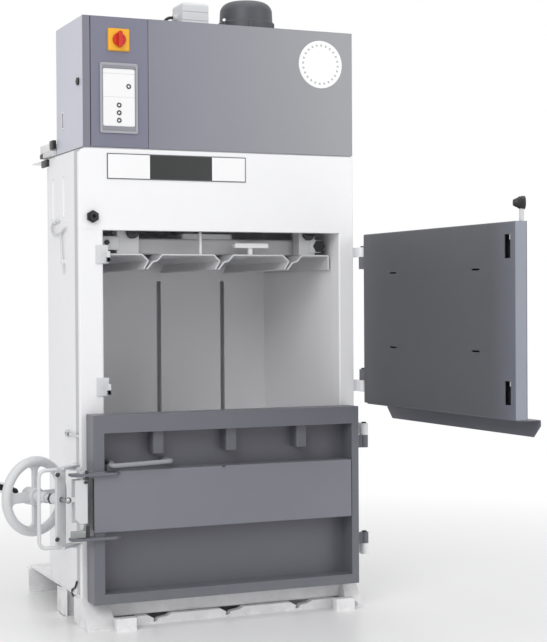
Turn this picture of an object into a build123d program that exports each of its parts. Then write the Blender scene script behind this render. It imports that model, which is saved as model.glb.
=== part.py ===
from build123d import *
import math
import os

os.makedirs("parts", exist_ok=True)

# Recycling baler. +Z is up, -Y is the front, +X is the viewer's right.
# The origin is on the floor, on the body's middle plane, in the plane of the front posts.
# Every length is in millimetres.

# driving sizes of the body
body_left = -485.0
body_right = 472.0
opening_left = -406.0
opening_right = 418.0
opening_top = 1252.0
fascia_top = 1508.0
chamber_back = 640.0
base_height = 94.0
plate = 6.0
wall = 5.0
sheet = 3.0
bend = 6.0

# head housing
head_half = 470.0
head_low = 1512.0
head_high = 1923.5
head_depth = 302.0
cabinet_left = -443.0
cabinet_right = -253.5
cabinet_gap = 1.5

# strap channels, shared by the floor, the platen and the lower door
strap_spacing = 248.0
strap_places = [-strap_spacing, 0.0, strap_spacing]
section_depth = 50.0
section_sheet = 5.0

# platen
platen_top = 1180.0
platen_front = 58.0
platen_back = 610.0
platen_clearance = 10.0
rod_x = 6.0
rod_y = 366.0
rod_radius = 27.0
barrel_radius = 57.0
barrel_bore = 46.0
barrel_low = 1275.0
barrel_high = 1960.0
running_gap = 0.05

# hinge line, one for both doors
hinge_x = 497.5
hinge_y = -20.0
knuckle_radius = 14.0
pin_radius = 6.0
upper_open_angle = 91.3

# upper door, in its closed place
upper_left = -431.5
upper_right = 472.0
upper_low = 684.0
upper_high = 1246.0
upper_inner = -7.5
upper_depth = 60.0
slot_x = -410.0
slot_heights = [759.0, 1176.0]
rod_line = -36.0

# lower door
lower_left = -469.0
lower_right = 444.0
lower_low = 88.5
lower_high = 675.0
lower_front = -90.0
lower_back = -12.0
lower_sheet = 4.0
band_low = 312.0
band_high = 501.0

# door lock: the pull rod's tip, and the turn of its line away from +Y
tip_x = -548.0
tip_y = -80.0
tip_z = 417.0
lock_turn = 24.0
lock_pivot_x = -503.0
lock_pivot_y = 10.0
pull_radius = 8.0
wheel_radius = 114.0
rim_radius = 12.0
rim_place = 163.0

centre_low = (Align.CENTER, Align.CENTER, Align.MIN)


def block(x0, x1, y0, y1, z0, z1):
    return Pos((x0 + x1) / 2, (y0 + y1) / 2, (z0 + z1) / 2) * Box(x1 - x0, y1 - y0, z1 - z0)


def bar(start, direction, radius, length):
    return Plane(origin=start, z_dir=direction) * Cylinder(radius, length, align=centre_low)


def front_plane(y):
    """The XZ plane at y. Its local axes are world X and world Z, and its normal is -Y."""
    return Plane(origin=(0, y, 0), x_dir=(1, 0, 0), z_dir=(0, -1, 0))


def folded(points, thickness, radius, plane, length):
    """A folded sheet: its middle line through points, and its length along the plane's normal."""
    line = FilletPolyline(*points, radius=radius)
    return extrude(plane * trace(line, thickness), length)


def save(name, *solids):
    shape = solids[0] if len(solids) == 1 else Compound(children=list(solids))
    shape.label = name
    export_step(shape, f"parts/{name}.step")


def tube_along(points, radius, corner):
    line = FilletPolyline(*points, radius=corner)
    start = Plane(origin=line @ 0, z_dir=line % 0)
    return sweep(start * Circle(radius), path=line)


# base

def make_base():
    half = 474.0
    top = block(-half, half, 40, 700, base_height - plate, base_height)
    top = fillet(top.edges().filter_by(Axis.Z), 8)
    save("base_plate", top)

    hole_radius = 7.0
    low = base_height - plate
    middle = folded(
        [(179, 3), (211, 3), (211, low - 3), (268, low - 3), (268, 3), (300, 3)],
        plate, bend, Plane.YZ.offset(-482), 964)
    rear = folded([(638, 3), (672, 3), (672, low - 3), (697, low - 3)], plate, bend, Plane.YZ.offset(-482), 964)
    for x in (-430, 430):
        middle -= bar((x, 192, -1), (0, 0, 1), hole_radius, 10)
        rear -= bar((x, 652, -1), (0, 0, 1), hole_radius, 10)
    save("base_feet", middle, rear)

    def foot(outer, inner, spread):
        turn = 1 if inner > outer else -1
        high = Plane.XY.offset(base_height) * Pos((outer + inner) / 2, 14) * Rectangle(abs(inner - outer), 26)
        toe = inner + turn * spread
        low_face = Plane.XY.offset(8) * Pos((outer + turn * 2 + toe) / 2, -15) * Rectangle(abs(toe - outer) - 2, 84)
        skirt = loft([low_face.face(), high.face()])
        sole = block(min(outer, toe), max(outer, toe), -60, 62, 0, 8)
        column = block(min(outer, inner), max(outer, inner), 1, 90, 8, base_height)
        column -= block(-500, 500, 40, 100, base_height - plate, base_height + 1)
        return sole + skirt + column

    left_foot = foot(-484, -408, 24)
    right_foot = foot(471, 419, 8)
    save("front_feet", left_foot, right_foot)

    rail = folded([(58, 86), (58, 32), (2, 32), (2, 90)], 4, bend, Plane.YZ.offset(opening_left - 4), 832)
    save("sill", rail - left_foot - right_foot)


def strap_notch(x):
    """The mouth of a strap channel, cut into a bar's top edge."""
    with BuildSketch() as mouth:
        with BuildLine():
            Polyline((x - 26, 60), (x - 26, 30), (x - 5, 18), (x - 9, 8), (x + 4, 8), (x + 10, 18),
                     (x + 40, 22), (x + 62, 34), (x + 62, 60), close=True)
        make_face()
    return mouth.sketch


def make_front_bar():
    outline = Pos(40, 15) * Rectangle(700, 30)
    for x in strap_places:
        outline -= strap_notch(x)
    strip = extrude(front_plane(-22) * outline, -26)
    hollow = block(-304, 384, -16, 5, -1, 5)
    strip -= hollow
    left = block(-399, -332, -90, -60, 0, 40)
    right = block(359, 427, -90, -60, 0, 40)
    left = fillet(left.edges().filter_by(Axis.Z), 4)
    right = fillet(right.edges().filter_by(Axis.Z), 4)
    save("front_bar", strip, left, right)


def channel_section(z_top, x_from, x_to, y_from, y_to, down):
    """Folded sections with a strap channel between each pair. down is -1 where the channels hang below the flats."""
    t = section_sheet / 2
    length = -(y_to - y_from)
    plane = front_plane(y_from)
    z = z_top + down * t
    deep = z_top + down * section_depth
    pieces = []
    left = None
    for x in strap_places + [None]:
        if left is None:
            start = [(x_from + t, deep), (x_from + t, z)]
        else:
            start = [(left + 6, deep), (left + 26, z_top + down * 26), (left + 42, z_top + down * 22), (left + 59, z)]
        if x is None:
            end = [(x_to - t, z), (x_to - t, deep)]
        else:
            end = [(x - 10, z), (x + 11, z + down * 20), (x - 5.5, deep)]
        pieces.append(folded(start + end, section_sheet, 4, plane, length))
        left = x
    return pieces


# chamber

def make_chamber():
    floor_top = base_height + section_depth + 2
    floor = channel_section(floor_top, opening_left + 1, opening_right - 1, 4, chamber_back - 1, -1)
    save("chamber_floor", *floor)

    left = block(opening_left - wall, opening_left, 61, chamber_back, base_height, 1500)
    right = block(opening_right, opening_right + wall, 61, chamber_back, base_height, 1500)
    save("chamber_walls", left, right)

    rear = block(opening_left - wall, opening_right + wall, chamber_back, chamber_back + wall, base_height, 1500)
    for x in strap_places:
        slot = Pos(x, 0, 0) * block(-8, 8, chamber_back - 5, chamber_back + 10, 170, 1100)
        rear -= slot
    save("chamber_rear", rear)

    y = chamber_back + wall
    ribs = []
    for x in strap_places:
        rib = folded([(x - 60, y + 2), (x - 32, y + 2), (x - 32, y + 38), (x + 32, y + 38), (x + 32, y + 2),
                      (x + 60, y + 2)], 4, 8, Plane.XY.offset(base_height), 1400)
        ribs.append(rib)
    save("rear_ribs", *ribs)


# front frame

step_in = 14.0
return_depth = 17.0
side_back = 96.0


def make_front_frame():
    t = sheet / 2
    z0 = base_height
    left = folded(
        [(opening_left - t, 60), (opening_left - t, t), (body_left + t, t), (body_left + t, return_depth),
         (body_left + step_in + t, return_depth + 4), (body_left + step_in + t, side_back)],
        sheet, 4, Plane.XY.offset(z0), opening_top - z0)
    save("left_post", left)
    right = folded(
        [(opening_right + t, 60), (opening_right + t, t), (body_right - t, t), (body_right - t, side_back)],
        sheet, 4, Plane.XY.offset(z0), opening_top - z0)
    save("right_post", right)

    face = folded(
        [(body_left + step_in + t, side_back), (body_left + step_in + t, return_depth + 4),
         (body_left + t, return_depth), (body_left + t, t), (body_right - t, t), (body_right - t, side_back)],
        sheet, 4, Plane.XY.offset(opening_top), fascia_top - opening_top)
    rounding = 22.0
    corner = block(body_left - 5, body_left + rounding, -5, 30, fascia_top - rounding, fascia_top + 5)
    corner -= bar((body_left + rounding, 40, fascia_top - rounding), (0, -1, 0), rounding, 60)
    face -= corner
    lip = block(opening_left, opening_right, sheet, 44, opening_top, opening_top + sheet)
    save("fascia", face + lip)

    t2 = 1.5
    cover_low = base_height
    cover_length = fascia_top - cover_low
    rib_low = 1302.0
    rib_high = 1438.0

    def cover(side, outer, inner_wall):
        shape = folded(
            [(outer, side_back), (outer, 410), (inner_wall, 410)], sheet, 8, Plane.XY.offset(cover_low), cover_length)
        for y in (222, 348):
            rib = Pos(outer - side * 2.6, y, (rib_low + rib_high) / 2) * Box(6, 30, rib_high - rib_low)
            rib = fillet(rib.edges().filter_by(Axis.X), 9)
            groove = Pos(outer - side * 2.6 + side * 2.0, y, (rib_low + rib_high) / 2) * Box(6, 25, rib_high - rib_low - 5)
            groove = fillet(groove.edges().filter_by(Axis.X), 7)
            shape = shape + rib - groove
        return shape

    left_cover = cover(-1, body_left + step_in + t2, opening_left - wall)
    right_cover = cover(1, body_right - 2.5, opening_right + wall)
    save("side_covers", left_cover, right_cover)

    deck = block(body_left + 20, body_right - 6, 5, chamber_back + wall, fascia_top, head_low)
    deck -= bar((rod_x, rod_y, fascia_top - 5), (0, 0, 1), barrel_radius + 1, 30)
    save("top_deck", deck)

    beam_low = 1392.0
    tube = block(opening_left, opening_right, rod_y - 75, rod_y + 75, beam_low, fascia_top)
    tube -= block(opening_left - 1, opening_right + 1, rod_y - 67, rod_y + 67, beam_low + 8, fascia_top - 8)
    tube -= bar((rod_x, rod_y, beam_low - 5), (0, 0, 1), barrel_radius + 0.4, 200)
    tube = fillet(tube.edges().filter_by(Axis.X).group_by(Axis.Z)[0], 5)
    save("cylinder_beam", tube)


# press cylinder

def make_cylinder():
    barrel = bar((rod_x, rod_y, barrel_low), (0, 0, 1), barrel_radius, barrel_high - barrel_low)
    flange = block(rod_x - 96, rod_x + 96, rod_y - 62, rod_y + 62, head_low, head_low + 24)
    barrel += fillet(flange.edges().filter_by(Axis.Z), 12)
    barrel += bar((rod_x, rod_y, barrel_high - 20), (0, 0, 1), barrel_radius + 5, 20)
    barrel -= bar((rod_x, rod_y, barrel_low + 25), (0, 0, 1), barrel_bore, barrel_high - barrel_low - 45)
    barrel -= bar((rod_x, rod_y, barrel_low - 1), (0, 0, 1), rod_radius + running_gap, 60)
    for x in (-79, 79):
        for y in (-44, 44):
            barrel += Pos(rod_x + x, rod_y + y, head_low + 24) * extrude(RegularPolygon(8, 6), 8)
    save("cylinder_barrel", barrel)


# platen, at the top of its stroke

beam_high = 1234.0


def make_platen():
    low_left = opening_left + platen_clearance
    low_right = opening_right - platen_clearance
    save("platen_sections", *channel_section(platen_top, low_left, low_right, platen_front, platen_back, -1))

    pieces = []
    for y in (150, 530):
        beam = folded(
            [(y + 46, platen_top + 2.5), (y + 2.5, platen_top + 2.5), (y + 2.5, beam_high - 2.5),
             (y + 46, beam_high - 2.5)], 5, 6, Plane.YZ.offset(-384), 772)
        pieces.append(beam)
    crown = block(rod_x - 90, rod_x + 90, 151, 575, beam_high, beam_high + 16)
    crown = fillet(crown.edges().filter_by(Axis.Z), 14)
    cheeks = [block(rod_x + x - 5, rod_x + x + 5, 199, 528, platen_top, beam_high) for x in (-60, 60)]
    pieces.append(crown + cheeks[0] + cheeks[1])
    post = block(-56, -48, 70, 82, platen_top, platen_top + 72)
    stem = block(118, 132, 70, 80, platen_top, platen_top + 22)
    cap = block(67, 186, 62, 90, platen_top + 22, platen_top + 37)
    cap = fillet(cap.edges().filter_by(Axis.Y), 2)
    pieces.append(post)
    pieces.append(stem + cap)
    save("platen_beams", *pieces)

    arms = []
    for low_x, high_x in ((-348, -264), (287, 371)):
        arm = folded([(low_x + 2.5, 132), (low_x + 2.5, 80.5), (high_x - 2.5, 80.5)], 5, 6,
                     Plane.XY.offset(platen_top), 190)
        arm -= Pos(high_x, 80, platen_top + 190) * Rot(0, 40, 0) * Box(60, 30, 90)
        arms.append(arm)
    save("guide_arms", *arms)

    rod = bar((rod_x, rod_y, beam_high + 16), (0, 0, 1), rod_radius, 1886 - beam_high - 16)
    rod += bar((rod_x, rod_y, 1886), (0, 0, 1), barrel_bore - running_gap, 44)
    rod += bar((rod_x, rod_y, beam_high + 16), (0, 0, 1), 52, 18)
    save("piston_rod", rod)


# head housing

def make_head():
    t = sheet
    y0 = 2.0
    shell = block(-head_half, head_half, y0, head_depth, head_low, head_high)
    shell = fillet(shell.edges().filter_by(Axis.Y).group_by(Axis.Z)[-1], 3)
    shell -= block(-head_half + t, head_half - t, y0 - 5, head_depth - t, head_low + t, head_high - t)
    strip = block(-head_half + 0.5, cabinet_left - cabinet_gap - 1, 0, 2.5, head_low, head_high - 1)
    strip += block(cabinet_left - cabinet_gap - 4, cabinet_left - cabinet_gap - 1, 2, 40, head_low + t, head_high - t)
    strip += block(-head_half, -head_half + 4, 1, 4, head_low, head_high - 3)
    shell += strip
    divider = block(-252, -249, 24, head_depth - t, head_low + t, head_high - t)
    shell += divider
    shell -= Pos(-head_half, 224.5, 1616.5) * Box(20, 16, 46)
    shell -= bar((151, 160, head_high - 20), (0, 0, 1), 84, 40)
    shell -= bar((-142, 165, head_high - 20), (0, 0, 1), 5.3, 40)
    shell -= bar((-head_half - 5, 44, 1720.6), (1, 0, 0), 9.05, 20)
    for x, z in ((-60, 1560), (-10, 1590)):
        shell -= bar((x, head_depth - 20, z), (0, 1, 0), 8.4, 40)
    save("head_shell", shell)

    x0 = -252.5
    cover = block(x0, head_half, -1, 2, head_low, head_high)
    cover = fillet(cover.edges().filter_by(Axis.Z).group_by(Axis.Y)[0], 2)
    cover += block(x0, x0 + 3, 2, 22, head_low + 6, head_high - 6)
    cover += block(x0 + 3, head_half - 6, 2, 18, head_high - 9, head_high - 6)
    cover += block(x0 + 3, head_half - 6, 2, 18, head_low + 6, head_low + 9)
    save("hood_front", cover)

    door = block(cabinet_left, cabinet_right, -1, 2, head_low + 1, head_high - 0.5)
    door = fillet(door.edges().filter_by(Axis.Z).group_by(Axis.Y)[0], 2)
    rim = block(cabinet_left + 2, cabinet_right - 6, 2, 22, head_low + 8, head_high - 8)
    rim -= block(cabinet_left + 5, cabinet_right - 9, 1, 30, head_low + 11, head_high - 11)
    door += rim
    save("cabinet_door", door)

    tray = block(-438, -252, 60, 240, 1540, 1890)
    tray -= block(-435, -259, 50, 237, 1543, 1887)
    rail = block(-430, -264, 225, 237, 1700, 1735)
    boxes = [block(x, x + 44, 140, 225, 1672, 1764) for x in (-428, -380, -332)]
    save("control_box", tray + rail, *boxes)

    tank = block(20, 290, 30, 290, 1515, 1690)
    tank = fillet(tank.edges().filter_by(Axis.Z), 14)
    tank += block(12, 298, 22, 296, 1690, 1698)
    motor = bar((151, 160, 1698), (0, 0, 1), 76, 1926 - 1698)
    fins = []
    for angle in range(0, 360, 30):
        fin = Pos(151, 160, 1810) * Rot(0, 0, angle) * Pos(78, 0, 0) * Box(8, 5, 170)
        fins.append(fin)
    for fin in fins:
        motor += fin
    valve = block(-80, 20, 200, 280, 1515, 1600)
    valve = fillet(valve.edges().filter_by(Axis.Y), 5)
    save("power_unit", tank + motor, valve)

    low = head_high + 2
    with BuildPart() as cowl:
        with BuildSketch(Plane.XZ):
            with BuildLine():
                Polyline((0, low + 6), (96, low + 6), (96, low + 34), (90, low + 38), (88, low + 76))
                RadiusArc((88, low + 76), (58, 2031), -36)
                Polyline((58, 2031), (0, 2031), (0, low + 6))
            make_face()
        revolve(axis=Axis.Z)
    cap = Pos(151, 160, 0) * cowl.part
    with BuildPart() as inner:
        with BuildSketch(Plane.XZ):
            with BuildLine():
                Polyline((0, low), (91, low), (85, low + 36), (83, low + 74), (56, 2027), (0, 2027), (0, low))
            make_face()
        revolve(axis=Axis.Z)
    cap -= Pos(151, 160, 0) * inner.part
    ring = bar((151, 160, head_high), (0, 0, 1), 91, 4) - bar((151, 160, head_high - 1), (0, 0, 1), 83, 20)
    for angle in range(18, 378, 60):
        x = 151 + 91 * math.cos(math.radians(angle))
        y = 160 + 91 * math.sin(math.radians(angle))
        cap += bar((x, y, low + 10), (0, 0, 1), 9, 20)
        cap += Pos(x, y, low + 30) * extrude(RegularPolygon(6, 6), 5)
    for angle in (0, 90, 180, 270):
        cap += Pos(151, 160, head_high + 13) * Rot(0, 0, angle) * Pos(88.5, 0, 0) * Box(9, 8, 26)
    save("fan_cowl", cap + ring)

    box = block(-96, -4, 110, 205, head_high, 2012)
    box = fillet(box.edges().group_by(Axis.Z)[-1], 12)
    for z in (1950, 1978):
        box -= block(-97, -3, 108, 111.5, z, z + 3)
    box += bar((-96, 165, 1966), (-1, 0, 0), 11, 14)
    save("terminal_box", box)
    cable = tube_along([(-110, 165, 1966), (-142, 165, 1966), (-142, 165, 1870)], 5.0, 28)
    cable -= block(-200, 0, 100, 200, 1800, head_high - 12)
    gland = bar((-142, 165, head_high), (0, 0, 1), 9, 8) - bar((-142, 165, head_high - 1), (0, 0, 1), 5.0, 12)
    save("box_cable", cable, gland)

    pipe_radius = 8.0
    barrel_zone = bar((rod_x, rod_y, 1200), (0, 0, 1), barrel_radius, 900)
    lower = bar((-10, 280, 1590), (0, 1, 0), pipe_radius, 60) - barrel_zone
    upper = tube_along([(-60, 270, 1560), (-60, 340, 1560), (-60, 340, 1925), (-30, 356, 1925)], pipe_radius, 14)
    upper -= barrel_zone + block(-80, 20, 200, 280, 1515, 1600)
    save("hydraulic_pipes", upper, lower)

    lock = bar((-head_half - 5, 44, 1720.6), (1, 0, 0), 9.0, 22)
    lock += bar((-head_half, 44, 1720.6), (-1, 0, 0), 12, 6)
    lock -= block(-head_half - 7, -head_half - 4, 34, 54, 1719, 1722.2)
    lock += block(-head_half + 14, -head_half + 17, 38, 50, 1712, 1760)
    save("side_lock", lock)


# controls on the cabinet door

panel = -1.0
key_places = [(-320.0, 1705.5), (-352.0, 1645.5), (-352.0, 1621.5), (-352.0, 1597.5)]


def make_controls():
    frame = block(-414, -290, panel - 5, panel, 1557, 1778)
    frame = fillet(frame.edges().filter_by(Axis.Y), 6)
    frame -= block(-407, -297, panel - 6, panel - 1.5, 1564, 1771)
    for x, z in key_places:
        frame -= bar((x, 5, z), (0, -1, 0), 8.3, 20)
    save("keypad_frame", frame)

    membrane = block(-404, -300, panel - 3.5, panel - 1.5, 1579, 1760)
    membrane = fillet(membrane.edges().filter_by(Axis.Y), 5)
    for x, z in key_places:
        membrane -= bar((x, 5, z), (0, -1, 0), 8.3, 20)
    save("keypad_membrane", membrane)
    for number, (x, z) in enumerate(key_places):
        key = bar((x, panel - 4.5, z), (0, 1, 0), 8.0, 3.3)
        key = fillet(key.edges().group_by(Axis.Y)[0], 0.8)
        save(f"key_{number + 1}", key)

    size = 33.0
    x = -352.0
    z = 1851.0
    base = Pos(x, panel - 2, z) * Box(2 * size + 5, 4, 2 * size + 5)
    base = fillet(base.edges().filter_by(Axis.Y), 4)
    base += Pos(x, panel - 5.5, z) * Box(2 * size, 3, 2 * size)
    base -= bar((x, 5, z), (0, -1, 0), 8.05, 30)
    save("switch_plate", base)
    handle = bar((x, panel, z), (0, -1, 0), 8.0, 9)
    handle += bar((x, panel - 7.1, z), (0, -1, 0), 21, 7)
    grip = Pos(x, panel - 19, z) * Rot(0, 0, 0) * Box(13, 16, 50)
    grip = fillet(grip.edges().filter_by(Axis.Y), 5)
    handle += grip
    save("switch_handle", handle)


def make_labels():
    plate_1 = block(-392, 80, -2, 0, 1413, 1494)
    disc = bar((352, -1, 1813), (0, -1, 0), 79, 1)
    save("label_plates", plate_1, disc)
    hexagon = Plane(origin=(-441, 0, 1293), z_dir=(0, -1, 0)) * extrude(RegularPolygon(20, 6), 12)
    hexagon += bar((-441, -12, 1293), (0, -1, 0), 13, 7)
    hexagon -= bar((-441, -8, 1293), (0, -1, 0), 6, 20)
    save("hex_sensor", hexagon)


# hinges

def frame_knuckle(z0, z1):
    knuckle = bar((hinge_x, hinge_y, z0), (0, 0, 1), knuckle_radius, z1 - z0)
    knuckle += block(hinge_x - 8, hinge_x + 8, hinge_y, 40, z0, z1)
    knuckle += block(body_right, hinge_x + 8, 26, 44, z0, z1)
    knuckle -= bar((hinge_x, hinge_y, z0 - 1), (0, 0, 1), pin_radius, z1 - z0 + 2)
    return knuckle


upper_hinges = [((1172, 1204), (1131, 1172)), ((719, 757), (757, 794))]
lower_hinges = [((573, 612), (531, 573)), ((172, 208), (208, 245))]


def make_hinges():
    knuckles = []
    pins = []
    for frame_span, door_span in upper_hinges + lower_hinges:
        knuckles.append(frame_knuckle(*frame_span))
        low = min(frame_span[0], door_span[0])
        high = max(frame_span[1], door_span[1])
        pins.append(bar((hinge_x, hinge_y, low), (0, 0, 1), pin_radius, high - low))
    save("frame_knuckles", *knuckles)
    save("hinge_pins", *pins)


def door_knuckle(z0, z1, edge_x, low_y, high_y):
    knuckle = bar((hinge_x, hinge_y, z0), (0, 0, 1), knuckle_radius, z1 - z0)
    knuckle += block(edge_x - 1, hinge_x, low_y, high_y, z0, z1)
    knuckle -= bar((hinge_x, hinge_y, z0 - 1), (0, 0, 1), pin_radius + running_gap, z1 - z0 + 2)
    return knuckle


def swung(shape):
    return shape.rotate(Axis((hinge_x, hinge_y, 0), (0, 0, 1)), upper_open_angle)


# upper door, built closed and then swung open

def make_upper_door():
    t = sheet
    outer = upper_inner - upper_depth
    tray = block(upper_left, upper_right, outer, upper_inner, upper_low, upper_high)
    tray = fillet(tray.edges().filter_by(Axis.Z).group_by(Axis.Y)[-1], 3)
    tray -= block(upper_left + t, upper_right - t, outer - 5, upper_inner - t, upper_low + t, upper_high - t)
    for z in slot_heights:
        slot = block(slot_x - 13, slot_x + 13, upper_inner - 6, upper_inner + 6, z - 34, z + 34)
        tray -= slot
    for x in (-222, 270):
        for z in (873.5, 1113.5):
            tray -= block(x - 21, x + 21, upper_inner - 6, upper_inner + 6, z - 4.5, z + 4.5)
    tray -= bar((slot_x + 4, rod_line, upper_high - 10), (0, 0, 1), 8.05, 30)
    for x in (-150, 200):
        rib = folded([(x - 40, -12), (x - 40, outer + 5), (x + 40, outer + 5), (x + 40, -12)], 3, 5,
                     Plane.XY.offset(upper_low + 3), upper_high - upper_low - 6)
        tray += rib
    for frame_span, door_span in upper_hinges:
        tray += door_knuckle(*door_span, upper_right, hinge_y - 8, hinge_y + 8)
    guide = block(slot_x - 12, slot_x + 20, outer, -22, 826, 834)
    tray += guide - bar((slot_x + 4, rod_line, 820), (0, 0, 1), 8.05, 20)
    save("upper_door_tray", swung(tray))

    skin = block(upper_left + 1, upper_right - 1, outer - 3, outer, upper_low + 1, upper_high - 1)
    skin = fillet(skin.edges().filter_by(Axis.Y), 6)
    save("upper_door_skin", swung(skin))

    lip_front = -99.0
    lip = folded([(-40, upper_low - 1.5), (lip_front + 1.5, upper_low - 1.5), (lip_front + 1.5, 636)],
                 sheet, 5, Plane.YZ.offset(-456), 919)
    lip -= block(-457, upper_left, -90, -30, 600, 700)
    for x, turn in ((-456, 1), (463, -1)):
        cut = Pos(x, lip_front, 636) * Rot(0, turn * 45, 0) * Box(56, 20, 56)
        lip -= cut
    save("door_lip", swung(lip))

    rod = bar((slot_x + 4, rod_line, 716), (0, 0, 1), 8.0, 1276 - 716)
    for z in slot_heights:
        rod += block(slot_x - 3, slot_x + 7, rod_line, -12.5, z + 36, z + 44)
        rod += block(slot_x - 3, slot_x + 7, -17.5, -12.5, z + 19, z + 44)
    save("latch_rod", swung(rod))
    with BuildPart() as cone:
        with BuildSketch(Plane.YZ):
            with BuildLine():
                Polyline((-12, 0), (-12, 21), (8, 21), (22, 17), (26, 11), (34, 9), (34, 0), (-12, 0))
            make_face()
        revolve(axis=Axis.Y)
    knob = Pos(slot_x + 4, -64, 1298) * cone.part
    knob = fillet(knob.edges().filter_by(GeomType.CIRCLE).group_by(Axis.Y)[0], 2)
    stem = bar((slot_x + 4, rod_line, 1276), (0, 0, 1), 8, 24)
    knob = knob + stem
    save("rod_cone", swung(knob))

    catches = []
    for z in slot_heights:
        catch = block(slot_x - 6, slot_x + 6, -26, 0, z - 26, z - 10)
        catch += block(slot_x - 6, slot_x + 6, -26, -20, z - 26, z + 8)
        catch = fillet(catch.edges().filter_by(Axis.X).group_by(Axis.Y)[0], 4)
        foot = block(slot_x - 13, slot_x + 3.8, -5, 0, z - 30, z + 28)
        catches.append(catch + foot)
    save("latch_catches", *catches)


# lower door

def make_lower_door():
    t = lower_sheet
    x0, x1 = lower_left, lower_right
    z0, z1 = lower_low, lower_high
    inner = [x0 + 34, x1 - 27, z0 + 31, z1 - 56]
    ring = block(x0, x1, lower_front, lower_back - t, z0, z1)
    ring = fillet(ring.edges().filter_by(Axis.Z).group_by(Axis.Y)[0], 5)
    ring -= block(inner[0], inner[1], lower_front - 5, 0, inner[2], inner[3])
    hollow = block(x0 + t, x1 - t, lower_front + t, 0, z0 + t, z1 - t)
    hollow -= block(inner[0] - t, inner[1] + t, lower_front - 5, 10, inner[2] - t, inner[3] + t)
    ring -= hollow
    for frame_span, door_span in lower_hinges:
        ring += door_knuckle(*door_span, x1, hinge_y - 9, lower_back - t)
    save("lower_door_rim", ring)
    save("lower_door_skin", block(x0, x1, lower_back - t, lower_back, z0, z1))

    band_right = inner[1] - 4
    front = lower_front - t
    band = block(x0, band_right, front, lower_front, band_low, band_high)
    band += block(inner[0] + 0.5, band_right, lower_front, lower_back - t, band_high - t, band_high)
    band += block(inner[0] + 0.5, band_right, lower_front, lower_back - t, band_low, band_low + t)
    band = fillet(band.edges().filter_by(Axis.X).group_by(Axis.Y)[0], 3)
    save("lower_door_band", band)

    clips = []
    for x in strap_places:
        clip = folded(
            [(x - 17.5, lower_back - t), (x - 17.5, -62), (x + 17.5, -62), (x + 17.5, lower_back - t)], 5, 6,
            Plane.XY.offset(547), inner[3] - 547)
        clips.append(clip)
    save("strap_clips", *clips)

    grip_z = 524.0
    handle = tube_along(
        [(-404, lower_back - t, grip_z), (-404, -70, grip_z), (-428, -116, grip_z - 4), (-300, -116, grip_z),
         (-222, -116, grip_z + 3), (-222, lower_back - t, grip_z + 3)], 7.0, 16)
    save("door_handle", handle)

    claws = []
    claw_back = -72.0
    for z in (297, 495):
        outline = Polyline((-385, front), (-402, -112), (-539, -112), (-545, -106), (-545, claw_back),
                           (x0, claw_back), (x0, front), close=True)
        claw = extrude(Plane.XY.offset(z - 4) * make_face(outline), 8)
        claw -= bar((-508, -91.5, z - 5), (0, 0, 1), 8.0, 10)
        claws.append(claw)
    save("door_claws", *claws)

    z2, z3 = 346.0, 480.0
    link = folded([(-533, -64.5), (-493.5, -64.5), (-493.5, -101.5), (-533, -101.5)], 5, 5, Plane.XY.offset(z2), z3 - z2)
    link -= block(-540, -512, -70, -60, tip_z - 7.5, tip_z + 7.5)
    link = link - Pos(-533, -101, z2) * Rot(0, 45, 0) * Box(22, 12, 22)
    pin = bar((-508, -91.5, 293), (0, 0, 1), 8.0, 206)
    save("link_channel", link + pin)


# door lock

lock_angle = math.radians(lock_turn)
lock_line = (-math.sin(lock_angle), math.cos(lock_angle), 0)
lock_side = (math.cos(lock_angle), math.sin(lock_angle), 0)


def on_lock(along, side, up):
    return (
        tip_x + lock_line[0] * along + lock_side[0] * side,
        tip_y + lock_line[1] * along + lock_side[1] * side,
        tip_z + up)


def lock_plane(along):
    """A plane square to the pull rod. Its local axes are sideways and up, and its normal points at the wheel."""
    side = (-lock_side[0], -lock_side[1], 0)
    return Plane(origin=on_lock(along, 0, 0), x_dir=side, z_dir=lock_line)


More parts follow.
